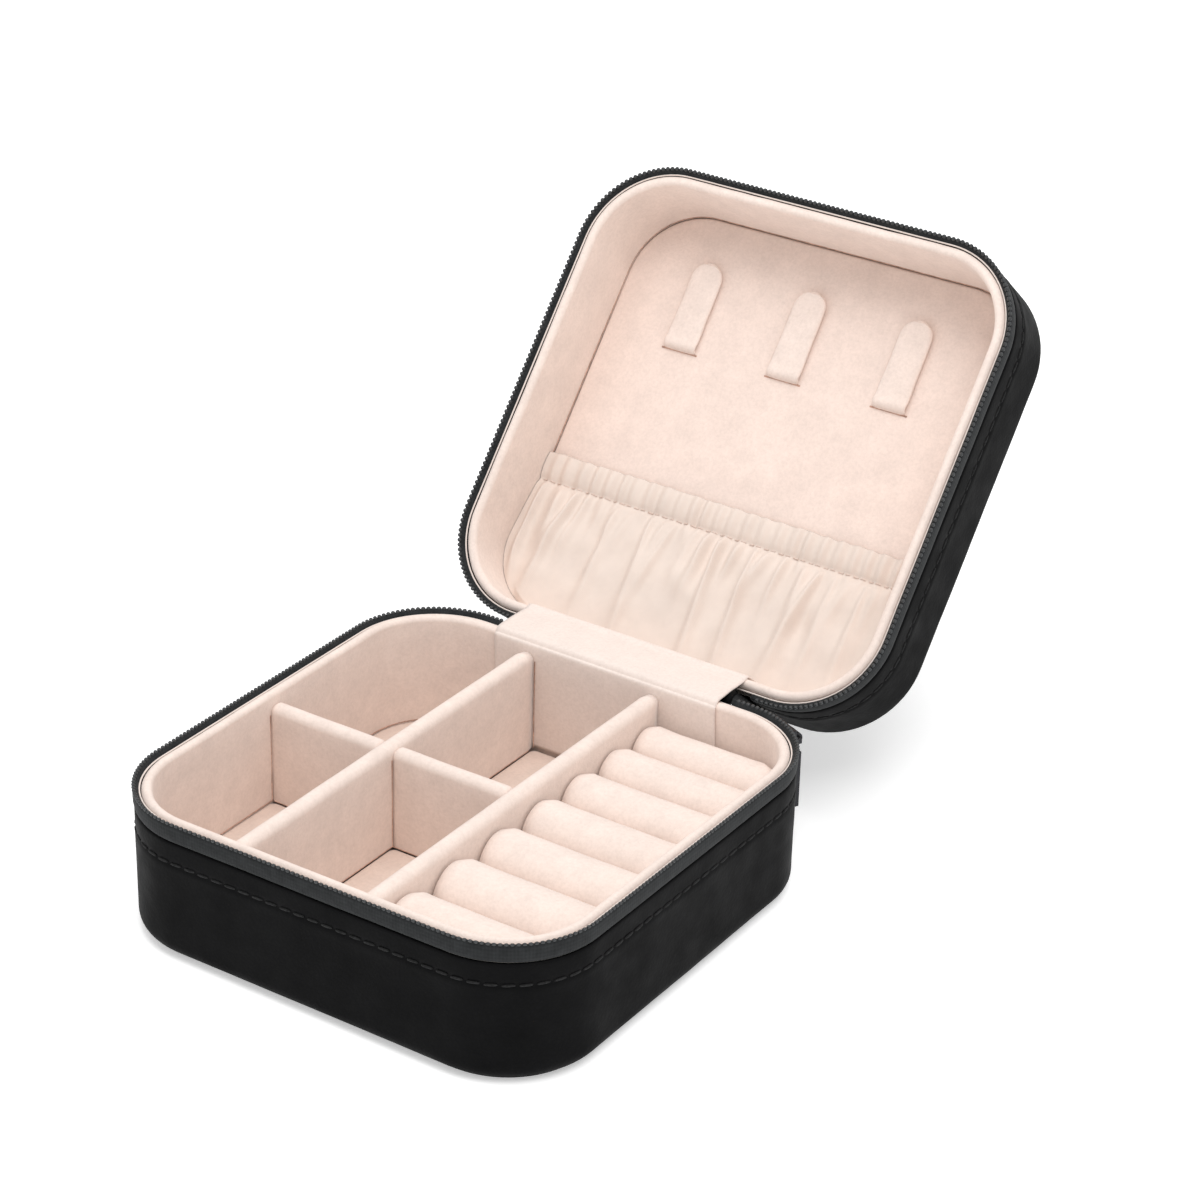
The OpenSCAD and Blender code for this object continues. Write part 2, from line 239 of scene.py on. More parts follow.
def woven_tape(name, colour):
    """Zipper tape: ribs across the tape and rows along it, from the millimetre UVs."""
    m, t, p = tree(name)
    uv = t.nodes.new("ShaderNodeSeparateXYZ")
    t.links.new(coords(t, "UV"), uv.inputs[0])
    ribs = math_node(t, "SINE", math_node(t, "MULTIPLY", uv.outputs[0], 2 * math.pi / 0.62))
    rows = math_node(t, "SINE", math_node(t, "MULTIPLY", uv.outputs[1], 2 * math.pi / 0.75))
    weave = math_node(t, "MULTIPLY", math_node(t, "ADD", ribs, rows), 0.25)
    height = math_node(t, "ADD", weave, 0.5)
    v = coords(t)
    tone = ramp(t, noise_fac(t, v, 500, 3, 0.6), [(0.3, shade(colour, 0.75)), (0.7, shade(colour, 1.25))])
    threads = ramp(t, height, [(0.1, (0.82, 0.82, 0.82)), (0.8, (1.1, 1.1, 1.1))])
    t.links.new(mix_colour(t, 0.85, tone, threads), p.inputs["Base Color"])
    fuzz = bump(t, noise_fac(t, v, 3000, 2, 0.6), 0.3, 0.00006)
    t.links.new(bump(t, height, 0.35, 0.00007, fuzz), p.inputs["Normal"])
    p.inputs["Roughness"].default_value = 0.78
    p.inputs["Specular IOR Level"].default_value = 0.10
    p.inputs["Sheen Weight"].default_value = 0.05
    return m


def pocket_cloth(name, colour):
    """Thin plain-weave lining cloth with a slight silkiness."""
    m, t, p = tree(name)
    uv = t.nodes.new("ShaderNodeSeparateXYZ")
    t.links.new(coords(t, "UV"), uv.inputs[0])
    warp = math_node(t, "SINE", math_node(t, "MULTIPLY", uv.outputs[0], 2 * math.pi / 0.42))
    weft = math_node(t, "SINE", math_node(t, "MULTIPLY", uv.outputs[1], 2 * math.pi / 0.42))
    weave = math_node(t, "ADD", math_node(t, "MULTIPLY", math_node(t, "MULTIPLY", warp, weft), 0.5), 0.5)
    v = coords(t)
    tone = ramp(t, noise_fac(t, v, 160, 3, 0.6), [(0.3, shade(colour, 0.95)), (0.7, shade(colour, 1.03))])
    threads = ramp(t, weave, [(0.0, (0.93, 0.92, 0.91)), (1.0, (1, 1, 1))])
    t.links.new(mix_colour(t, 0.8, tone, threads), p.inputs["Base Color"])
    t.links.new(bump(t, weave, 0.25, 0.00004, bump(t, noise_fac(t, v, 700, 2, 0.5), 0.2, 0.0001)), p.inputs["Normal"])
    p.inputs["Roughness"].default_value = 0.7
    p.inputs["Specular IOR Level"].default_value = 0.25
    p.inputs["Sheen Weight"].default_value = 0.25
    p.inputs["Sheen Roughness"].default_value = 0.35
    return m


def plain(name, colour, rough, scale, metal=0.0, strength=0.2, spread=0.2):
    """Moulded plastic, card, thread or metal: slight tone and roughness changes and a fine bump."""
    m, t, p = tree(name)
    v = coords(t)
    tone = ramp(t, noise_fac(t, v, scale, 3, 0.6), [(0.3, shade(colour, 1 - spread)), (0.7, shade(colour, 1 + spread))])
    t.links.new(tone, p.inputs["Base Color"])
    r = ramp(t, noise_fac(t, v, scale * 0.7, 2), [(0.3, (rough * 0.85,) * 3), (0.7, (min(1, rough * 1.15),) * 3)])
    t.links.new(r, p.inputs["Roughness"])
    t.links.new(bump(t, noise_fac(t, v, scale * 2, 3, 0.6), strength, 0.00005), p.inputs["Normal"])
    p.inputs["Metallic"].default_value = metal
    return m


BLACK = leather("black_leather", (0.0042, 0.0042, 0.0045))
PANEL_BLACK = leather("panel_leather", (0.006, 0.006, 0.0064))
TAPE = woven_tape("zipper_tape", (0.021, 0.0225, 0.0235))
COIL = plain("zipper_coil", (0.030, 0.032, 0.034), 0.42, 1800, strength=0.15)
THREAD = plain("black_thread", (0.003, 0.003, 0.0032), 0.85, 3500, strength=0.5)
PALE_THREAD = plain("pale_thread", (0.72, 0.58, 0.51), 0.75, 3500, strength=0.5, spread=0.1)
VELVET = velvet("blush_velvet", (0.87, 0.72, 0.645))
# The wall velvet darkened for the floor pads: painted shade for the floors of the deep trays
VELVET_SHADED_FLOOR = velvet("floor_velvet_painted_shade", (0.78, 0.635, 0.555))
VELVET_TOP = velvet("roll_velvet", (0.87, 0.74, 0.67))
VELVET_PALE = velvet("flap_velvet", (0.85, 0.74, 0.68), nap=0.03)
CLOTH = pocket_cloth("pocket_cloth", (0.79, 0.68, 0.61))
# Dark brown for the tubes along the joints and in the slits: painted crease shade
PAINTED_CREASE_SHADE = plain("painted_crease_shade", (0.55, 0.34, 0.26), 0.9, 900, strength=0.4, spread=0.35)
BOARD = plain("shell_board", (0.36, 0.33, 0.31), 0.8, 700, strength=0.4)
METAL = plain("zipper_metal", (0.035, 0.035, 0.038), 0.42, 1200, metal=1.0, strength=0.15)

# ---- Mesh building ----


def add(name, verts, faces, material, body, lid=False, uvs=None, stands_for=(), slot=None, turned=False):
    """A mesh in millimetres. A lid piece is given rim-up, and goes to where the lid stands."""
    if lid:
        verts = [LID @ Vector(v) for v in verts]
    if lid != turned:
        faces = [tuple(reversed(f)) for f in faces]
        uvs = [tuple(reversed(u)) for u in uvs] if uvs else None
    mesh = bpy.data.meshes.new(name)
    mesh.from_pydata([tuple(c * MM for c in v) for v in verts], [], faces)
    if uvs:
        layer = mesh.uv_layers.new(name="cloth_mm")
        flat = [c for face in uvs for uv in face for c in uv]
        layer.data.foreach_set("uv", flat)
    mesh.materials.append(material)
    mesh.polygons.foreach_set("use_smooth", [True] * len(mesh.polygons))
    mesh.update()
    obj = bpy.data.objects.new(name, mesh)
    bpy.context.collection.objects.link(obj)
    if stands_for:
        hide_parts(*stands_for)
    if body:
        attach(obj, body)
    return obj


class Build:
    """Collects vertices, faces and millimetre UVs of several parts of one piece."""

    def __init__(self):
        self.v, self.f, self.uv = [], [], []

    def grid(self, rows, s, t, close_rows=False, close_cols=False, s_end=None):
        base, n, m = len(self.v), len(rows), len(rows[0])
        for r in rows:
            self.v.extend(tuple(p) for p in r)
        ss = list(s) + ([s_end] if close_rows else [])
        tt = list(t) + ([t[-1] + (t[1] - t[0])] if close_cols else [])
        for i in range(n if close_rows else n - 1):
            for j in range(m if close_cols else m - 1):
                a, b = i, (i + 1) % n
                c, d = j, (j + 1) % m
                self.f.append((base + a * m + c, base + a * m + d, base + b * m + d, base + b * m + c))
                self.uv.append(((ss[i], tt[j]), (ss[i], tt[j + 1]), (ss[i + 1], tt[j + 1]), (ss[i + 1], tt[j])))
        return base

    def cap(self, ring, flip=False):
        """Closes a ring of vertex numbers with one face."""
        r = tuple(reversed(ring)) if flip else tuple(ring)
        self.f.append(r)
        self.uv.append(tuple((self.v[i][0], self.v[i][1]) for i in r))

    def make(self, name, material, body, **kw):
        return add(name, self.v, self.f, material, body, uvs=self.uv, **kw)


def stations(u_ref, step=1.6, arc_n=18, gap=0.0):
    """Stations round the case: (x, y) of the corner square, outward normal, length along at u_ref.
    With a gap it starts and ends that far from the middle of the back."""
    out, s = [], 0.0
    c, r = CORNER, u_ref - CORNER

    def line(a, b, normal):
        nonlocal s
        length = math.dist(a, b)
        n = max(1, round(length / step))
        for i in range(n):
            f = i / n
            out.append((a[0] + (b[0] - a[0]) * f, a[1] + (b[1] - a[1]) * f, *normal, s + length * f))
        s += length

    def arc(centre, a0):
        nonlocal s
        length = r * math.pi / 2
        for i in range(arc_n):
            a = math.radians(a0) + math.pi / 2 * i / arc_n
            out.append((*centre, math.cos(a), math.sin(a), s + length * i / arc_n))
        s += length

    line((-gap, c), (-c, c), (0, 1))
    arc((-c, c), 90)
    line((-c, c), (-c, -c), (-1, 0))
    arc((-c, -c), 180)
    line((-c, -c), (c, -c), (0, -1))
    arc((c, -c), 270)
    line((c, -c), (c, c), (1, 0))
    arc((c, c), 0)
    line((c, c), (gap, c), (0, 1))
    if gap:
        out.append((gap, c, 0, 1, s))
    return out, s


def lengths(profile):
    t = [0.0]
    for a, b in zip(profile, profile[1:]):
        t.append(t[-1] + math.dist(a, b))
    return t


def sweep(name, profile, material, body, gap=0.0, shift=None, thick_end=False, **kw):
    """Carries a (u, z) profile round the case. shift(s, t, u, z) gives extra (du, dz)."""
    st, total = stations(profile[len(profile) // 2][0], gap=gap)
    t = lengths(profile)
    rows = []
    for x, y, nx, ny, s in st:
        row = []
        for (u, z), tj in zip(profile, t):
            du, dz = shift(s, tj, u, z) if shift else (0, 0)
            k = u + du - CORNER
            row.append((x + nx * k, y + ny * k, z + dz))
        rows.append(row)
    b = Build()
    b.grid(rows, [p[4] for p in st], t, close_rows=not gap, s_end=total)
    if gap and thick_end:
        m = len(profile)
        b.cap(range(m))
        b.cap(range(len(b.v) - m, len(b.v)), flip=True)
    return b.make(name, material, body, **kw)


def arc_points(cu, cz, r, a0, a1, n):
    return [
        (cu + r * math.cos(math.radians(a0 + (a1 - a0) * i / n)), cz + r * math.sin(math.radians(a0 + (a1 - a0) * i / n)))
        for i in range(n + 1)
    ]


def place_along(u, pitch, gap=0.0, inset=0.0, phase=0.0):
    """Even places round the case at half-size u: (x, y, normal, tangent)."""
    st, total = stations(u, step=0.5, arc_n=60, gap=gap)
    n = int((total - 2 * inset) / pitch)
    pts, k = [], 0
    for i in range(n):
        want = inset + (i + 0.5 + phase) * (total - 2 * inset) / n
        while k < len(st) - 1 and st[k + 1][4] < want:
            k += 1
        x, y, nx, ny, s = st[k]
        x2, y2, nx2, ny2, s2 = st[(k + 1) % len(st)]
        f = (want - s) / max((s2 if s2 > s else total) - s, 1e-6)
        px, py, qx, qy = x + (x2 - x) * f, y + (y2 - y) * f, nx + (nx2 - nx) * f, ny + (ny2 - ny) * f
        ln = math.hypot(qx, qy)
        nv = Vector((qx / ln, qy / ln, 0))
        pts.append((Vector((px, py, 0)) + nv * (u - CORNER), nv, Vector((-nv.y, nv.x, 0))))
    return pts


def bead(b, centre, axes, radii, n_long=5, n_round=8, power=1.0):
    """A small closed ellipsoid along axes[0]."""
    rows, base = [], len(b.v)
    for i in range(n_long + 1):
        a = math.pi * i / n_long
        ring = []
        for j in range(n_round):
            g = 2 * math.pi * j / n_round
            w = math.sin(a) ** power
            ring.append(
                centre
                - axes[0] * (radii[0] * math.cos(a))
                + axes[1] * (radii[1] * w * math.cos(g))
                + axes[2] * (radii[2] * w * math.sin(g))
            )
        rows.append(ring)
    b.grid(rows, [i * 0.3 for i in range(n_long + 1)], [j * 0.1 for j in range(n_round)], close_cols=True)


def tube(b, points, r, n=8):
    """A round thread through points."""
    rows = []
    for i, p in enumerate(points):
        d = (points[min(i + 1, len(points) - 1)] - points[max(i - 1, 0)]).normalized()
        side = d.cross(Vector((0, 0, 1)))
        side = side.normalized() if side.length > 0.2 else d.cross(Vector((0, 1, 0))).normalized()
        up = side.cross(d)
        turns = [2 * math.pi * j / n for j in range(n)]
        rows.append([p + side * (r * math.cos(g)) + up * (r * math.sin(g)) for g in turns])
    s = [0.0]
    for a, c in zip(points, points[1:]):
        s.append(s[-1] + (c - a).length)
    base = b.grid(rows, s, [j * r for j in range(n)], close_cols=True)
    b.cap(range(base, base + n))
    b.cap(range(len(b.v) - n, len(b.v)), flip=True)


def stuff(obj, cap_mm, pinned, pressure=4.0, frames=20, big=20.0):
    """Inflates a closed cover as cloth over its filling, on an enlarged copy, and keeps the result.
    No point moves further than cap_mm, and points where pinned(co_mm) holds stay put."""
    world = obj.matrix_world.copy()
    copy = bpy.data.objects.new("stuffing_copy", obj.data.copy())
    bpy.context.collection.objects.link(copy)
    start = [world @ v.co for v in obj.data.vertices]
    for v, co in zip(copy.data.vertices, start):
        v.co = co * big
    group = copy.vertex_groups.new(name="glued")
    group.add([i for i, co in enumerate(start) if pinned(co / MM)], 1.0, "REPLACE")
    cloth = copy.modifiers.new("stuffing", "CLOTH")
    cloth.settings.quality = 6
    cloth.settings.mass = 0.2
    cloth.settings.use_pressure = True
    cloth.settings.uniform_pressure_force = pressure
    cloth.settings.vertex_group_mass = "glued"
    cloth.settings.shrink_min = -0.03
    cloth.settings.bending_stiffness = 0.3
    cloth.settings.effector_weights.gravity = 0.0
    cloth.collision_settings.use_collision = False
    cloth.point_cache.frame_start, cloth.point_cache.frame_end = 1, frames
    for frame_no in range(1, frames + 1):
        bpy.context.scene.frame_set(frame_no)
    soft = copy.evaluated_get(bpy.context.evaluated_depsgraph_get())
    back = world.inverted()
    for v, co, moved in zip(obj.data.vertices, start, soft.data.vertices):
        step = moved.co / big - co
        length = step.length / MM
        if length > cap_mm:
            step *= cap_mm / length
        v.co = back @ (co + step)
    bpy.data.objects.remove(copy)
    bpy.context.scene.frame_set(1)
    obj.data.update()


# ---- Leather wraps, zipper tapes, coils and stitching, on the base and on the lid ----


def wrap_profile(top):
    p = [(HALF - 1.0, top - 0.3), (HALF - 0.55, top - 0.06), (HALF - 0.25, top - 0.04), (HALF - 0.06, top - 0.28)]
    stitch = top - STITCH_DROP
    z = top - 0.7
    while z > EDGE_R + WRAP_LOW + 0.3:
        dent = 0.2 * math.exp(-(((z - stitch) / 0.55) ** 2))
        fold = 0.05 * math.exp(-(((z - stitch + 1.2) / 0.8) ** 2))
        p.append((HALF - dent + fold, z))
        z -= 0.3 if abs(z - stitch) < 2 else 1.0
    p += arc_points(HALF - EDGE_R, WRAP_LOW + EDGE_R, EDGE_R, 0, -90, 10)
    p += [(HALF - EDGE_R - 0.8, WRAP_LOW + 0.05), (HALF - EDGE_R - 1.2, WRAP_LOW + 0.5)]
    return p


def leather_shift(seed):
    def shift(s, t, u, z):
        if u < HALF - 2.5:
            return 0, 0
        return 0.10 * wobble(s * 0.05 + seed, z * 0.09) + 0.03 * wobble(s * 0.35, z * 0.3, seed), 0

    return shift


def tape_profile(top):
    """top is the rim plane. The tape stands outside the rolled rim, leaning slightly outwards."""
    u, low = TAPE_U, top - TAPE_H
    return [
        (u - 1.45, top - 1.5), (u - 1.3, top - 0.9), (u - 0.9, top - 0.35), (u - 0.45, top + 0.1),
        (u - 0.16, top + 0.26), (u + 0.06, top + 0.1), (u + 0.13, top - 0.5), (u + 0.14, top - 1.3),
        (u + 0.1, top - 2.2), (u - 0.02, top - 2.9), (u - 0.25, low + 0.15), (u - 0.7, low + 0.02), (u - 1.15, low - 0.1),
    ]


def tape_shift(seed):
    def shift(s, t, u, z):
        return 0.05 * wobble(s * 0.11 + seed, 3.7), 0.06 * wobble(s * 0.09, seed)

    return shift


def rim_profile(low, top):
    p = [(INSIDE, low), (INSIDE, low + 1)]
    n = 7
    for i in range(1, n):
        z = low + 1 + (top - RIM_R - low - 1) * i / n
        p.append((INSIDE - 0.10 * math.sin(math.pi * i / n), z))
    p += arc_points(INSIDE + RIM_R - 0.05, top - RIM_R, RIM_R, 180, 0, 12)
    p += [(INSIDE + 2 * RIM_R - 0.2, top - RIM_R - 0.8)]
    return p


def lining_shift(seed):
    def shift(s, t, u, z):
        k = 0.09 * wobble(s * 0.07 + seed, z * 0.08) + 0.045 * wobble(s * 0.3, z * 0.25 + seed)
        return k, 0.5 * k

    return shift


for part, rim, seed, lid in (("base", RIM_Z, 1.3, False), ("lid", LID_H, 7.9, True)):
    wrap_top = rim - (RIM_Z - WRAP_TOP)
    low = FLOOR_LOW if part == "base" else PANEL_Z - 0.6
    sweep(f"{part}_leather_wrap", wrap_profile(wrap_top), BLACK, part, shift=leather_shift(seed), lid=lid,
          stands_for=[f"{part}_wrap"], slot="black_leather")
    profile = rim_profile(low, rim)
    lining = sweep(f"{part}_velvet_wall", profile, VELVET_TOP, part, shift=lining_shift(seed), lid=lid,
                   stands_for=[f"{part}_lining_wall"], slot="blush_velvet")
    sweep(f"{part}_woven_tape", tape_profile(rim), TAPE, part, gap=HINGE_HALF + 1, shift=tape_shift(seed), thick_end=True,
          lid=lid, stands_for=[f"{part}_zipper_tape"], slot="zipper_tape")

    # Pale cut edge of the lining, between the rolled rim and the tape
    sweep(f"{part}_lining_edge", arc_points(INSIDE + 2 * RIM_R + 0.28, rim - 0.62, 0.17, 0, 360, 8),
          VELVET_PALE, part, lid=lid, slot="blush_velvet")

    # Coil heads that stand out of the tape's top edge and end short of the middle of the rim gap,
    # so those of the base and the lid clear each other with the lid closed
    b = Build()
    for p, nv, tv in place_along(TAPE_U, COIL_PITCH, gap=HINGE_HALF + 1, inset=0.5, phase=0.0 if part == "base" else -0.5):
        tilt = (Vector((0, 0, 1)) + nv * 0.35).normalized()
        bead(b, p - nv * 0.1 + Vector((0, 0, rim + COIL_RISE)), (tilt, tv, nv), (0.36, 0.46, 0.38))
    b.make(f"{part}_coil_turns", COIL, part, lid=lid, stands_for=[f"{part}_zipper_teeth"], slot="zipper_coil")

    # Tonal stitches in their groove below the tape
    b = Build()
    for k, (p, nv, tv) in enumerate(place_along(HALF, STITCH_PITCH, gap=HINGE_HALF + 1.5, inset=1.0)):
        lean = (tv + Vector((0, 0, 0.05 + 0.02 * wobble(k * 1.7, seed)))).normalized()
        up = nv.cross(lean)
        bead(b, p - nv * 0.12 + Vector((0, 0, wrap_top - STITCH_DROP)), (lean, up, nv), (1.18, 0.24, 0.26),
             n_long=8, power=0.45)
    b.make(f"{part}_stitching", THREAD, part, lid=lid, slot="black_leather")

# ---- Flat outside panels keep their CAD shape, with a leather finish and softened edges ----


def finish_node(name, material, bevel=0.0):
    o = frame["nodes"][name]
    o.data.materials.clear()
    o.data.materials.append(material)
    if bevel:
        b = o.modifiers.new("soft_edge", "BEVEL")
        b.width = bevel * MM
        b.segments = 3
        b.limit_method = "ANGLE"
        b.angle_limit = math.radians(35)
        b.harden_normals = False


finish_node("base_bottom_panel", PANEL_BLACK, 0.4)
finish_node("lid_top_panel", PANEL_BLACK, 0.4)
finish_node("base_core", BOARD)
finish_node("lid_core", BOARD)
finish_node("ring_bed", VELVET)
finish_node("zipper_slider", METAL, 0.18)
finish_node("zipper_pull", METAL, 0.18)

# ---- Velvet over boards: dividers, floor pads and the lid's lining panel ----


def divider(name, node, along):
    """A covered board with a round top. Its fabric sheet is open underneath, where it's glued."""
    lo, hi = box_mm(node)
    across = 0 if along == 1 else 1
    mid, half_t = (lo[across] + hi[across]) / 2, (hi[across] - lo[across]) / 2
    top = hi.z
    n = 40
    rows, ss = [], []
    for i in range(n + 1):
        a = lo[along] + (hi[along] - lo[along]) * i / n
        d = min(a - lo[along], hi[along] - a) + 0.05
        round_end = math.sqrt(max(0.0, 1 - max(0, 1 - d / 0.9) ** 2))
        h = half_t * (0.75 + 0.25 * round_end)
        row = []
        prof = [(-h, lo.z), (-h, lo.z + 4), (-h, (lo.z + top) / 2), (-h, top - half_t - 1.5)]
        for k in range(13):
            a_top = math.pi * k / 12
            prof.append((-h * math.cos(a_top), top - half_t + half_t * math.sin(a_top) * (0.6 + 0.4 * round_end)))
        prof += [(h, top - half_t - 1.5), (h, (lo.z + top) / 2), (h, lo.z + 4), (h, lo.z)]
        for c, z in prof:
            c += 0.07 * wobble(a * 0.12, z * 0.1, mid) * (1 if z > lo.z + 1 else 0)
            z += 0.10 * wobble(a * 0.08, mid) * (1 if z > top - 3 else 0)
            p = [0, 0, z]
            p[along], p[across] = a, mid + c
            row.append(tuple(p))
        rows.append(row)
        ss.append(a)
    b = Build()
    t = lengths([(r[across], r[2]) for r in rows[n // 2]])
    b.grid(rows, ss, t)
    m = len(rows[0])
    b.cap(range(m), flip=True)
    b.cap(range(len(b.v) - m, len(b.v)))
    o = b.make(name, VELVET_TOP, "base", stands_for=[node], slot="blush_velvet", turned=along == 0)


divider("divider_left_cover", "divider_long_left", 1)
divider("divider_right_cover", "divider_long_right", 1)
divider("cross_left_cover", "divider_cross_left", 0)
divider("cross_right_cover", "divider_cross_right", 0)


def inside_x(y, u):
    """Half-width of the case's rounded square of half-size u, at y."""
    d = abs(y) - CORNER
    if d <= 0:
        return u
    return CORNER + math.sqrt(max(0.0, (u - CORNER) ** 2 - d * d))


def pad_outline(x0, x1, y0, y1, r=1.2, u=None, n=10):
    """Rounded rectangle, its outer corners following the case's own corners."""
    pts = []
    for cx, cy, a0 in ((x1, y1, 0), (x0, y1, 90), (x0, y0, 180), (x1, y0, 270)):
        sx, sy = (1 if cx == x1 else -1), (1 if cy == y1 else -1)
        at_case = u and abs(cx) > CORNER + 5 and abs(cy) > CORNER + 5
        rr = (u - CORNER) if at_case else r
        mx, my = (sx * CORNER, sy * CORNER) if at_case else (cx - sx * rr, cy - sy * rr)
        for i in range(n + 1):
            a = math.radians(a0 + 90 * i / n)
            pts.append((mx + rr * math.cos(a), my + rr * math.sin(a)))
    full = []
    for a, c in zip(pts, pts[1:] + pts[:1]):
        k = max(1, int(math.dist(a, c) / 2.5))
        full += [(a[0] + (c[0] - a[0]) * i / k, a[1] + (c[1] - a[1]) * i / k) for i in range(k)]
    return full


def pad(name, outline, low, top, crown, material, body, seed, lid=False, **kw):
    """A thin cushion: a rounded edge, then a low crown."""
    cx = (min(p[0] for p in outline) + max(p[0] for p in outline)) / 2
    cy = (min(p[1] for p in outline) + max(p[1] for p in outline)) / 2
    size = min(max(abs(p[0] - cx) for p in outline), max(abs(p[1] - cy) for p in outline))
    rows = []
    for inset, z in [(0.0, low), (0.0, top - 0.55), (0.12, top - 0.22), (0.4, top - 0.03), (0.9, top)] + [
        (0.9 + (size - 0.9) * k / 9, top) for k in range(1, 10)
    ]:
        f = 1 - inset / size
        row = []
        for x, y in outline:
            px, py = cx + (x - cx) * f, cy + (y - cy) * f
            up = crown * (1 - f ** 3) if z >= top else 0
            row.append((px, py, z + up + (0.05 * wobble(px * 0.15, py * 0.15, seed) if z >= top else 0)))
        rows.append(row)
    b = Build()
    m = len(outline)
    cols = list(zip(*rows))
    b.grid([list(c) for c in cols], [i * 2.5 for i in range(m)], [i * 1.0 for i in range(len(rows))],
           close_rows=True, s_end=m * 2.5)
    # The grid's columns end in a small ring at the middle, closed by a face
    k = len(rows)
    b.cap([i * k + k - 1 for i in range(m)])
    b.cap([i * k for i in range(m)], flip=True)
    return b.make(name, material, body, lid=lid, turned=True, **kw)


LEFT_LO, LEFT_HI = box_mm("divider_long_left")[0].x, box_mm("divider_long_left")[1].x
RIGHT_LO = box_mm("divider_long_right")[0].x
CROSS_LO, CROSS_HI = box_mm("divider_cross_left")[0].y, box_mm("divider_cross_left")[1].y
WALL = INSIDE - 0.25
BACK = box_mm("divider_long_left")[1].y
for k, (x0, x1, y0, y1) in enumerate((
    (-WALL, LEFT_LO - 0.1, -WALL, CROSS_LO - 0.1),
    (-WALL, LEFT_LO - 0.1, CROSS_HI + 0.1, BACK),
    (LEFT_HI + 0.1, RIGHT_LO - 0.1, -WALL, CROSS_LO - 0.1),
    (LEFT_HI + 0.1, RIGHT_LO - 0.1, CROSS_HI + 0.1, BACK - 0.3),
)):
    o = pad(f"floor_pad_{k + 1}", pad_outline(x0, x1, y0, y1, u=WALL), FLOOR_LOW, FLOOR_Z, 0.35,
            VELVET_SHADED_FLOOR, "base", k * 3.1, stands_for=["base_floor_pad"], slot="blush_velvet")
    stuff(o, 0.18, lambda co: co.z < FLOOR_Z - 0.4)

PANEL_U = INSIDE - 0.12
panel_outline = pad_outline(-PANEL_U, PANEL_U, -PANEL_U, PANEL_U, u=PANEL_U, n=16)
lid_panel = pad("lid_velvet_panel", panel_outline, PANEL_Z - 1.1, PANEL_Z, 0.25, VELVET,
                "lid", 5.5, lid=True, stands_for=["lid_panel"], slot="blush_velvet")

# ---- Ring rolls: foam rolls covered with velvet ----

for k in range(7):
    lo, hi = box_mm(f"ring_roll_{k + 1}")
    yc, r = (lo.y + hi.y) / 2, (hi.y - lo.y) / 2
    zc = hi.z - r
    n, m = 46, 40
    rows = []
    for i in range(n + 1):
        a = i / n
        a = 0.5 - 0.5 * math.cos(math.pi * a) if i in (0, 1, 2, n - 2, n - 1, n) else a
        row = []
        for j in range(m):
            g = 2 * math.pi * j / m
            c, s_ = math.cos(g), math.sin(g)
            d_end = min(a * (hi.x - lo.x), (1 - a) * (hi.x - lo.x))
            e = 1.7
            rr = r * (0.80 + 0.20 * math.sqrt(max(0.0, 1 - max(0.0, 1 - d_end / e) ** 2)))
            y = yc + rr * c
            z = zc + rr * s_ if s_ >= 0 else zc + (zc - lo.z) * s_ * 0.98
            x_end = inside_x(y, WALL)
            x = lo.x + 0.05 + a * (x_end - lo.x - 0.1)
            bump_ = 0.10 * wobble(x * 0.13, y * 0.16, k * 2.3) + 0.05 * wobble(x * 0.45, y * 0.4, k)
            if s_ > 0:
                z += bump_ * s_
            row.append((x, y, z))
        rows.append(row)
    b = Build()
    b.grid(rows, [i * (hi.x - lo.x) / n for i in range(n + 1)], [2 * math.pi * r * j / m for j in range(m)],
           close_cols=True)
    b.cap(range(m), flip=True)
    b.cap(range(len(b.v) - m, len(b.v)))
    o = b.make(f"ring_roll_cover_{k + 1}", VELVET_TOP, "base", stands_for=[f"ring_roll_{k + 1}"],
               slot="roll_velvet", turned=True)
    stuff(o, 0.22, lambda co, z=lo.z + 1.2: co.z < z)

# ---- Hook tongues ----

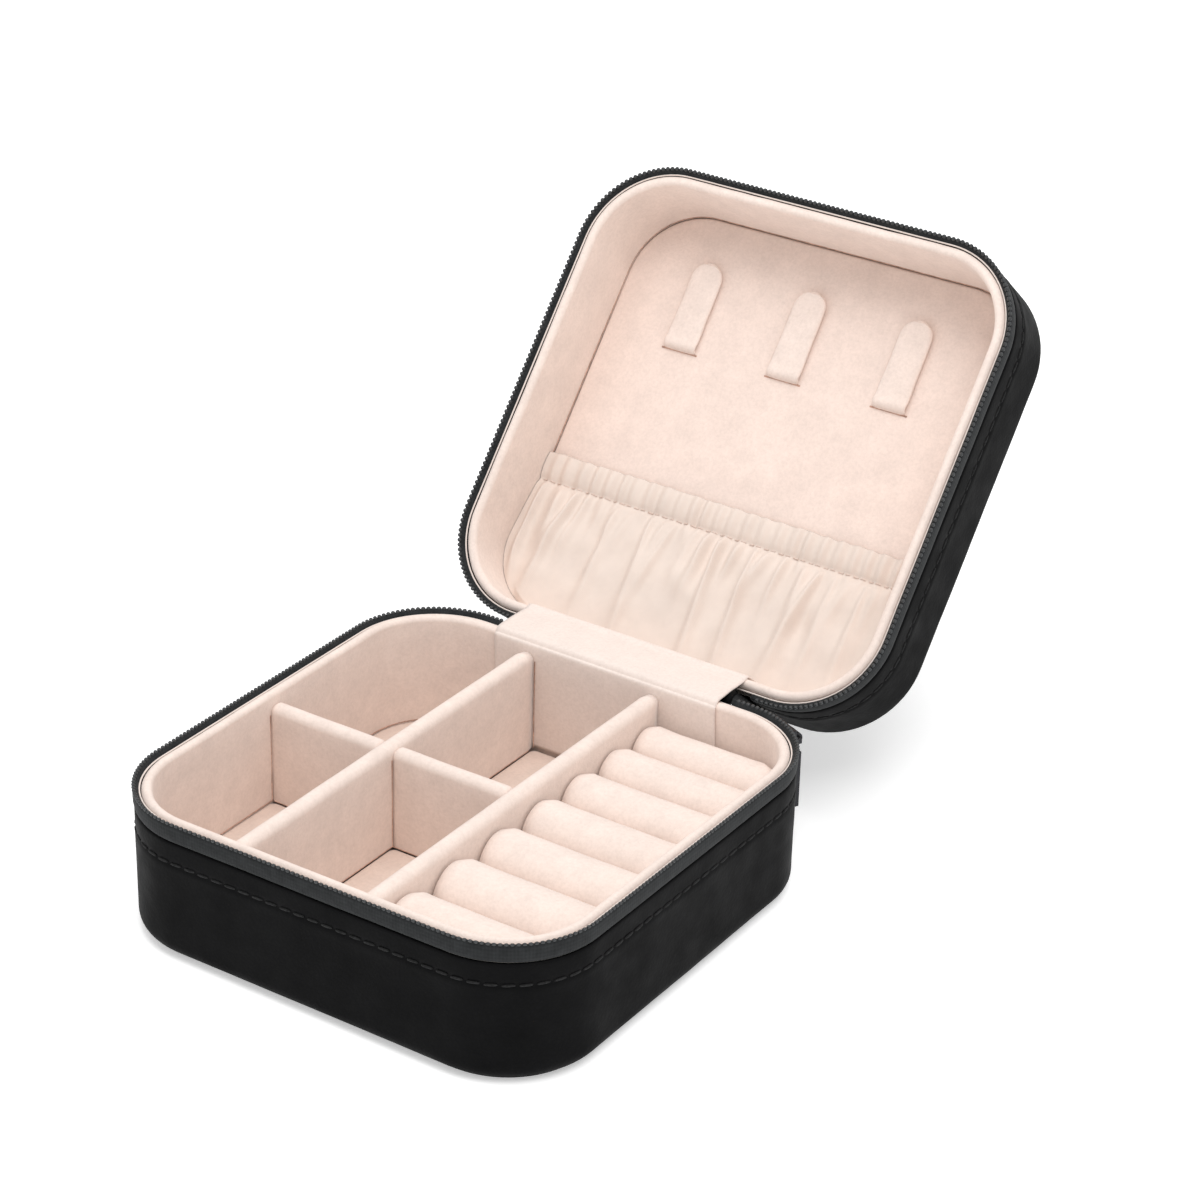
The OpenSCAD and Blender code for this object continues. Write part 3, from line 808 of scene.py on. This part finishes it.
TONGUE_W = 7.3
TONGUE_L = 17.5
FOLD_Y = -17.0
TONGUE_X = [-26.1, -2.0, 22.1]
for k, tx in enumerate(TONGUE_X):
    # Centre line of the strip in (y, z), from the slit, over the fold, to the free end
    line = [(FOLD_Y + 0.55, PANEL_Z - 0.9), (FOLD_Y + 0.62, PANEL_Z + 0.15), (FOLD_Y + 0.5, PANEL_Z + 0.75),
            (FOLD_Y + 0.1, PANEL_Z + 1.15), (FOLD_Y - 0.5, PANEL_Z + 1.2), (FOLD_Y - 1.1, PANEL_Z + 1.05),
            (FOLD_Y - 1.6, PANEL_Z + 0.9), (FOLD_Y - 2.3, PANEL_Z + 0.95)]
    steps = 22
    y_last = FOLD_Y - 2.3
    for i in range(1, steps + 1):
        f = i / steps
        line.append((y_last - (TONGUE_L - 2.3) * math.sin(f * math.pi / 2) ** 0.8, PANEL_Z + 0.95 + 0.9 * f * f))
    t = lengths(line)
    rows = []
    for i, (y, z) in enumerate(line):
        end_d = t[-1] - t[i]
        half = TONGUE_W / 2
        w = half if end_d > half else math.sqrt(max(0.0, half * half - (half - end_d) ** 2))
        w = max(w, 0.12)
        th = 0.48 * min(1.0, 0.25 + w / 1.2)
        a = line[max(i - 1, 0)]
        c = line[min(i + 1, len(line) - 1)]
        d = Vector((0, c[0] - a[0], c[1] - a[1])).normalized()
        nrm = Vector((1, 0, 0)).cross(d)
        row = []
        for j in range(20):
            g = 2 * math.pi * j / 20
            cx, cz = math.cos(g), math.sin(g)
            ex = math.copysign(abs(cx) ** 0.35, cx) * w
            ez = math.copysign(abs(cz) ** 0.7, cz) * th
            p = Vector((tx + ex, y, z)) + nrm * ez
            row.append(tuple(p))
        rows.append(row)
    b = Build()
    b.grid(rows, t, [j * 0.8 for j in range(20)], close_cols=True)
    b.cap(range(20), flip=True)
    b.cap(range(len(b.v) - 20, len(b.v)))
    o = b.make(f"tongue_strap_{k + 1}", VELVET_TOP, f"tongue_{k + 1}", lid=True,
               stands_for=[f"hook_tongue_{k + 1}"], slot="blush_velvet", turned=True)
    fold = LID @ Vector((tx, FOLD_Y, PANEL_Z))
    stuff(o, 0.12, lambda co, fold=fold: (co - fold).length < 4.6)

# ---- Gathered pocket ----

MOUTH, STITCH, WALL_Y = 11.3, 17.3, INSIDE - 0.3


def fold_field(x, seed, pitch):
    """Sideways-irregular pleats of about this pitch: -1 to 1."""
    ph = x / pitch * 2 * math.pi + 2.1 * wobble(x * 0.09, seed) + 0.9 * wobble(x * 0.31, seed + 4)
    return math.sin(ph)


def soft_random(i, seed):
    return 0.5 + 0.5 * math.sin(i * 12.9898 + seed * 78.233 + 3.1 * math.sin(i * 4.7 + seed))


# Long folds that fan out from the gathers: place, drift, length, height and width of each
FOLDS = [
    (-42 + 3.55 * i + 1.6 * (soft_random(i, 1) - 0.5), 7.0 * (soft_random(i, 2) - 0.55), 0.35 + 0.75 * soft_random(i, 3),
     0.7 + 1.25 * soft_random(i, 4), 0.85 + 0.6 * soft_random(i, 5))
    for i in range(25)
]


def long_folds(x, k):
    h = 0.0
    for x0, drift, reach, high, wide in FOLDS:
        d = x - x0 - drift * k
        if abs(d) > 9:
            continue
        w = wide * (0.9 + 1.3 * k)
        lean = d / w + 0.35 * math.tanh(d / w)
        h += high * math.exp(-lean * lean) * math.exp(-((k / reach) ** 2)) * (1 - math.exp(-k * 14))
    return h


def pocket_point(s, q):
    """s runs across, -1 to 1; q runs from the mouth (0) to the lid's wall (1)."""
    y = MOUTH + (WALL_Y - MOUTH) * q
    x = s * inside_x(y, INSIDE - 0.15)
    header = (STITCH - MOUTH) / (WALL_Y - MOUTH)
    edge = min(1.0, (1 - abs(s)) * 16)
    pinch = 0.4 * math.exp(-(((q - header) / 0.022) ** 2))
    if q < header:
        k = q / header
        lift = 1.0 + 0.7 * math.sin(math.pi * min(1, k * 0.9 + 0.1)) ** 0.8
        amp = 0.55 * (0.75 + 0.25 * math.sin(math.pi * k)) * (0.75 + 0.5 * wobble(x * 0.2, 3.3))
        z = PANEL_Z + lift - pinch * 0.5 + amp * fold_field(x, 1.7, PLEAT) * edge
        y += 0.3 * wobble(x * 0.55, 2.2) * (1 - k)
    else:
        k = (q - header) / (1 - header)
        base = 1.3 + 4.3 * k ** 0.8
        small = 0.5 * math.exp(-k * 8) * fold_field(x, 1.7, PLEAT) * (0.75 + 0.5 * wobble(x * 0.2, 3.3))
        crumple = 0.9 * wobble(x * 0.13, k * 3.1, 9.0) + 0.5 * wobble(x * 0.33, k * 4.2, 4.0)
        folds = small + 1.25 * long_folds(x, k) + crumple * math.sin(math.pi * min(1, k * 1.2))
        z = PANEL_Z + base - pinch + folds * edge
        x += 0.6 * (1 - math.exp(-k * 3)) * wobble(x * 0.11, 6.0) * edge
    return (x, y, min(z, PANEL_Z + 9.2))


across_n, nq = 420, 72
rows, s_list = [], []
for i in range(across_n + 1):
    s = -1 + 2 * i / across_n
    row = []
    # The hem's hidden back layer, from the stitches up to the mouth
    for h in (1.0, 0.66, 0.33, 0.08):
        x, y, z = pocket_point(s, h * (STITCH - MOUTH) / (WALL_Y - MOUTH))
        row.append((x, y, max(PANEL_Z + 0.25, z - 0.85 * (0.35 + 0.65 * (h > 0.1)))))
    for j in range(nq + 1):
        row.append(pocket_point(s, (j / nq) ** 1.15))
    rows.append(row)
    s_list.append(i / across_n * 128.0)
b = Build()
b.grid(rows, s_list, [0, 2, 4, 5.5] + [6.5 + (j / nq) ** 1.15 * 36 for j in range(nq + 1)])
pocket = b.make("gathered_pocket", CLOTH, "lid", lid=True, stands_for=["pocket_header", "pocket_pouch"],
                slot="pocket_cloth", turned=True)

# Pale running stitches that hold the elastic
b = Build()
q_st = (STITCH - MOUTH) / (WALL_Y - MOUTH)
count = 52
for i in range(count):
    pts = []
    for k in range(5):
        s = -0.985 + 1.97 * (i + 0.12 + 0.62 * k / 4) / count
        x, y, z = pocket_point(s, q_st * 0.985)
        pts.append(Vector((x, y, z + 0.24)))
    tube(b, pts, 0.13, 6)
b.make("pocket_stitching", PALE_THREAD, "lid", lid=True, slot="pocket_cloth", turned=True)

# ---- Fabric hinge: inner flap and outer strip ----


def lid_yz(y, z):
    p = LID @ Vector((0, y, z))
    return (p.y, p.z)


def smooth_line(pts, n):
    """Catmull-Rom line through (y, z) points."""
    out = []
    for i in range(len(pts) - 1):
        p0, p1, p2, p3 = pts[max(i - 1, 0)], pts[i], pts[i + 1], pts[min(i + 2, len(pts) - 1)]
        for k in range(n):
            f = k / n
            out.append(tuple(
                0.5 * (2 * p1[a] + (p2[a] - p0[a]) * f + (2 * p0[a] - 5 * p1[a] + 4 * p2[a] - p3[a]) * f * f
                       + (3 * p1[a] - p0[a] - 3 * p2[a] + p3[a]) * f ** 3) for a in (0, 1)))
    out.append(pts[-1])
    return out


def cross_sheet(name, line, half, thick, material, skew=0.0, sag=0.0, seed=0.0, nodes=(), slot=None):
    """A flat sheet that runs along a (y, z) line, 2*half wide, with rounded cut edges."""
    t = lengths(line)
    rows = []
    nx = 60
    for i, (y, z) in enumerate(line):
        a, c = line[max(i - 1, 0)], line[min(i + 1, len(line) - 1)]
        d = Vector((0, c[0] - a[0], c[1] - a[1])).normalized()
        nrm = Vector((1, 0, 0)).cross(d)
        f = t[i] / t[-1]
        row = []
        for side in (1, -1):
            for j in range(nx + 1):
                s = (-1 + 2 * j / nx) * side
                th = thick / 2 * (1 if abs(s) < 0.985 else 0.55)
                w = 0.06 * wobble(s * half * 0.1, t[i] * 0.2, seed)
                row.append(tuple(Vector((s * half + skew * f, y, z)) + nrm * (th * side + w)))
        rows.append(row)
    b = Build()
    b.grid(rows, t, [j * 2 * half / nx for j in range(2 * nx + 2)], close_cols=True)
    m = 2 * nx + 2
    b.cap(range(m), flip=True)
    b.cap(range(len(b.v) - m, len(b.v)))
    o = b.make(name, material, None, stands_for=nodes, slot=slot)
    return o, t[-1]


rim_in = INSIDE - 0.45
rim_mid_u, top_gap = INSIDE + RIM_R - 0.05, 0.45
flap_line = smooth_line(
    [(rim_in, FLOOR_Z + 0.3), (rim_in, 12), (rim_in, 20), (rim_in, RIM_Z - RIM_R - 0.3),
     (rim_in + 0.5, RIM_Z - 0.35), (rim_mid_u, RIM_Z + top_gap),
     (rim_mid_u + 3.0, RIM_Z + 0.42), (rim_mid_u + 6.0, RIM_Z + 0.32),
     lid_yz(rim_mid_u, LID_H + top_gap), lid_yz(rim_in + 0.5, LID_H - 0.35),
     lid_yz(rim_in, LID_H - RIM_R - 0.3), lid_yz(rim_in, LID_H - 5.5)], 6)
flap, flap_len = cross_sheet("hinge_flap_cloth", flap_line, HINGE_HALF, 0.5, VELVET_PALE, skew=-1.6, seed=2.0,
                             nodes=["hinge_flap"], slot="blush_velvet")
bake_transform(flap)


def hinge_turn(y, z):
    """A point given beside the closed lid, where it stands at rest."""
    c, s = math.cos(OPEN), math.sin(OPEN)
    dy, dz = y - HINGE_Y, z - HINGE_Z
    return (HINGE_Y + dy * c + dz * s, HINGE_Z - dy * s + dz * c)


SPINE_U = HALF + 0.42
LID_RIM = RIM_Z + RIM_GAP
bend_r = HINGE_Y - SPINE_U
spine_pts = [(HALF + 0.3, RIM_Z - 10), (HALF + 0.34, RIM_Z - 7), (SPINE_U, HINGE_Z - 2.5), (SPINE_U, HINGE_Z)]
for a in (30, 60, 90):
    g = math.radians(180 - a * math.degrees(OPEN) / 120)
    spine_pts.append((HINGE_Y + bend_r * math.cos(g), HINGE_Z + bend_r * math.sin(g)))
spine_pts += [hinge_turn(SPINE_U, HINGE_Z), hinge_turn(SPINE_U, LID_RIM + 1.5),
              hinge_turn(HALF + 0.34, LID_RIM + 6), hinge_turn(HALF + 0.3, LID_RIM + 10)]
spine, spine_len = cross_sheet("hinge_spine_leather", smooth_line(spine_pts, 5), HINGE_HALF, 0.55, BLACK,
                               seed=6.0, nodes=["hinge_spine"], slot="black_leather")
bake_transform(spine)

# ---- Joints where the velvet pieces meet, drawn as thin dark tubes of painted crease shade ----


def crease_shade_tubes(name, lines, r, body, lid=False):
    b = Build()
    for pts in lines:
        tube(b, [Vector(p) for p in pts], r, 6)
    return b.make(name, PAINTED_CREASE_SHADE, body, lid=lid, slot="blush_velvet", turned=True)


def loop_line(u, z, gap=0.0):
    st, _ = stations(u, gap=gap or 0.01)
    return [(x + nx * (u - CORNER), y + ny * (u - CORNER), z) for x, y, nx, ny, _s in st]


crease_shade_tubes("lid_panel_crease_shade", [loop_line(INSIDE - 0.06, PANEL_Z + 0.02)], 0.10, "lid", lid=True)
zf, zt = FLOOR_Z + 0.02, box_mm("divider_long_left")[1].z - 2.0
zc_t = box_mm("divider_cross_left")[1].z - 2.0
e = 0.05
# The trays' joints along floors, walls and dividers, also dark tubes of painted crease shade
lines = [loop_line(INSIDE - 0.1, zf)]
for x in (LEFT_LO - e, LEFT_HI + e, RIGHT_LO - e):
    lines.append([(x, y, zf) for y in range(-44, 44, 2)])
for y in (CROSS_LO - e, CROSS_HI + e):
    lines.append([(x, y, zf) for x in range(-44, 9, 2)])
for x in (LEFT_LO - e, LEFT_HI + e, RIGHT_LO - e):
    for y in (CROSS_LO - e, CROSS_HI + e):
        lines.append([(x, y, z) for z in (zf, 10, 16, zc_t)])
    lines.append([(x, BACK - 0.02, z) for z in (zf, 10, 16, zt)])
for y in (CROSS_LO - e, CROSS_HI + e):
    lines.append([(-INSIDE + 0.1, y, z) for z in (zf, 10, 16, zc_t)])
crease_shade_tubes("tray_crease_shade", lines, 0.09, "base")

# Slits that the tongues come out of, drawn as dark tubes: painted shade inside each slit
b = Build()
for tx in TONGUE_X:
    slit = [(tx - 4.1 + 8.2 * i / 8, FOLD_Y + 1.05 - 0.06 * math.sin(math.pi * i / 8)) for i in range(9)]
    tube(b, [Vector((x, y, PANEL_Z + 0.26)) for x, y in slit], 0.17, 6)
b.make("tongue_slit_painted_shade", PAINTED_CREASE_SHADE, "lid", lid=True, slot="blush_velvet", turned=True)

# ---- Floor, light and camera ----

floor_mesh = bpy.data.meshes.new("studio_floor")
bm = bmesh.new()
bmesh.ops.create_grid(bm, x_segments=8, y_segments=8, size=3.0)
bm.to_mesh(floor_mesh)
bm.free()
floor = bpy.data.objects.new("studio_floor", floor_mesh)
bpy.context.collection.objects.link(floor)
floor_mat, ft, fp = tree("studio_floor")
ftone = ramp(ft, noise_fac(ft, coords(ft), 3, 2), [(0.3, (0.90, 0.90, 0.90)), (0.7, (0.92, 0.92, 0.92))])
ft.links.new(ftone, fp.inputs["Base Color"])
fp.inputs["Roughness"].default_value = 0.9
fp.inputs["Specular IOR Level"].default_value = 0.1
fp.inputs["Emission Color"].default_value = (1, 1, 1, 1)
fp.inputs["Emission Strength"].default_value = 0.4
floor_mesh.materials.append(floor_mat)
floor.location.z = -0.0001

world = bpy.data.worlds.new("studio")
world.use_nodes = True
world.node_tree.nodes["Background"].inputs["Color"].default_value = (1, 1, 1, 1)
world.node_tree.nodes["Background"].inputs["Strength"].default_value = 0.68
scene = bpy.context.scene
scene.world = world
scene.view_settings.view_transform = "Standard"


def softbox(name, place, aim, size, watts):
    data = bpy.data.lights.new(name, "AREA")
    data.shape = "SQUARE"
    data.size = size
    data.energy = watts
    o = bpy.data.objects.new(name, data)
    o.location = place
    o.rotation_euler = (Vector(aim) - Vector(place)).to_track_quat("-Z", "Y").to_euler()
    bpy.context.collection.objects.link(o)


softbox("key", (0.50, -0.30, 1.15), (0, 0.03, 0.03), 0.6, 5.2)
softbox("top", (-0.15, 0.05, 1.3), (0, 0.03, 0.03), 0.9, 5.8)

camera_data = bpy.data.cameras.new("camera")
camera_data.sensor_width = 36
camera_data.lens = 107.83
camera_data.shift_x = 0.00175
camera_data.shift_y = 0.0153
camera_data.clip_start = 0.01
camera = bpy.data.objects.new("camera", camera_data)
bpy.context.collection.objects.link(camera)
right = Vector((0.82860, 0.55941, 0.02210))
up = Vector((-0.27797, 0.37681, 0.88360))
back = Vector((0.48597, -0.73829, 0.46772))
pose = Matrix((right, up, back)).transposed().to_4x4()
pose.translation = Vector((0.32508, -0.45323, 0.35313))
camera.matrix_world = pose
scene.camera = camera
